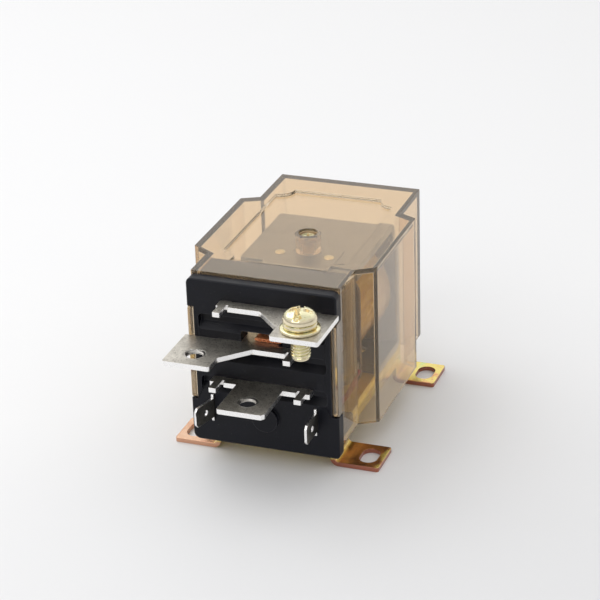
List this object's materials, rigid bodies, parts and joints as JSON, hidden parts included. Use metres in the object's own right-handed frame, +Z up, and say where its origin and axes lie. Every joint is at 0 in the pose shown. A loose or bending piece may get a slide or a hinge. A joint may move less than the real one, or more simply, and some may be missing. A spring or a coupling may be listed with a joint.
{
  "type": "enclosed power relay",
  "caption": "Enclosed power relay with screw terminals, transparent dust cover and slotted feet; a coil pulls an armature that moves a changeover contact.",
  "frame": {"origin": "centre of the four mounting slots, on the underside of the feet", "axes": "+X to the right seen from the terminals, +Y from the terminals towards the back of the dust cover, +Z up, away from the mounting surface"},
  "size_m": [0.0664, 0.1018, 0.0615],
  "materials": {
    "yellow_zinc": "yellow-passivated zinc plating",
    "amber_cover": "clear amber moulded plastic",
    "black_phenolic": "satin black phenolic moulding",
    "plated_screw": "pale yellow zinc plating",
    "nickel": "satin nickel-plated brass strip",
    "plated_steel": "satin nickel-plated magnet steel",
    "brass": "plain turned brass",
    "copper": "plain copper alloy",
    "contact_silver": "silver alloy",
    "natural_nylon": "natural nylon moulding",
    "coil_tape": "glossy polyester tape",
    "brown_phenolic": "satin brown phenolic moulding",
    "wire_insulation": "matt wire insulation"
  },
  "bodies": {
    "chassis": {"mounting_bracket": "yellow_zinc", "dust_cover": "amber_cover", "terminal_base": "black_phenolic", "base_screws": "plated_screw", "yoke_screws": "plated_screw", "core_screw": "plated_screw", "core_screw_washer": "plated_screw", "spring_yoke_rivets": "plated_screw", "terminal_upper": "nickel", "terminal_middle": "nickel", "terminal_lower": "nickel", "coil_tab_left": "nickel", "coil_tab_right": "nickel", "coil_lugs": "nickel", "yoke": "plated_steel", "iron_core": "plated_steel", "hinge_spring": "plated_steel", "base_inserts": "brass", "pole_shim": "brass", "braid_terminal_rivet": "brass", "flexible_braid": "copper", "coil_winding": "copper", "fixed_contact_no": "contact_silver", "fixed_contact_nc": "contact_silver", "coil_bobbin": "natural_nylon", "coil_tape": "coil_tape", "coil_leads": "wire_insulation"},
    "armature_group": {"armature": "plated_steel", "contact_carrier": "brown_phenolic", "carrier_rivets": "plated_screw", "moving_contact_arm": "copper", "moving_contact_buttons": "contact_silver", "arm_rivets": "brass", "braid_arm_rivet": "brass", "spring_armature_rivets": "plated_screw"},
    "cover_screw_washer_body": {"cover_screw_washer": "plated_screw"},
    "cover_screw_body": {"cover_screw": "plated_screw"},
    "terminal_washers_body": {"terminal_flat_washer": "plated_screw", "terminal_spring_washer": "plated_screw"},
    "terminal_screw_body": {"terminal_screw": "plated_screw"}
  },
  "joints": [
    {"name": "armature_swing", "type": "hinge", "parent": "chassis", "child": "armature_group", "pos_m": [0, -0.0108, 0.0532], "axis": [1, 0, 0], "range_deg": [0, 4.5], "stiffness_Nm_per_rad": 0.03, "springref_deg": -6.88, "deforming": ["hinge_spring", "flexible_braid"]},
    {"name": "cover_screw_travel", "type": "slide", "parent": "chassis", "child": "cover_screw_washer_body", "axis": [0, 0, 1], "range_m": [0, 0.006]},
    {"name": "cover_screw_turn", "type": "hinge", "parent": "cover_screw_washer_body", "child": "cover_screw_body", "pos_m": [0, -0.0009, 0.0576], "axis": [0, 0, 1], "range_deg": [0, 4320]},
    {"name": "terminal_screw_travel", "type": "slide", "parent": "chassis", "child": "terminal_washers_body", "axis": [0, 0, 1], "range_m": [0, 0.008]},
    {"name": "terminal_screw_turn", "type": "hinge", "parent": "terminal_washers_body", "child": "terminal_screw_body", "pos_m": [0.0167, -0.0543, 0.0577], "axis": [0, 0, 1], "range_deg": [0, 2880]}
  ],
  "couplings": [
    {"joint": "cover_screw_turn", "follows": "cover_screw_travel", "rad_per_m": 12566},
    {"joint": "terminal_screw_turn", "follows": "terminal_screw_travel", "rad_per_m": 6283.2}
  ]
}
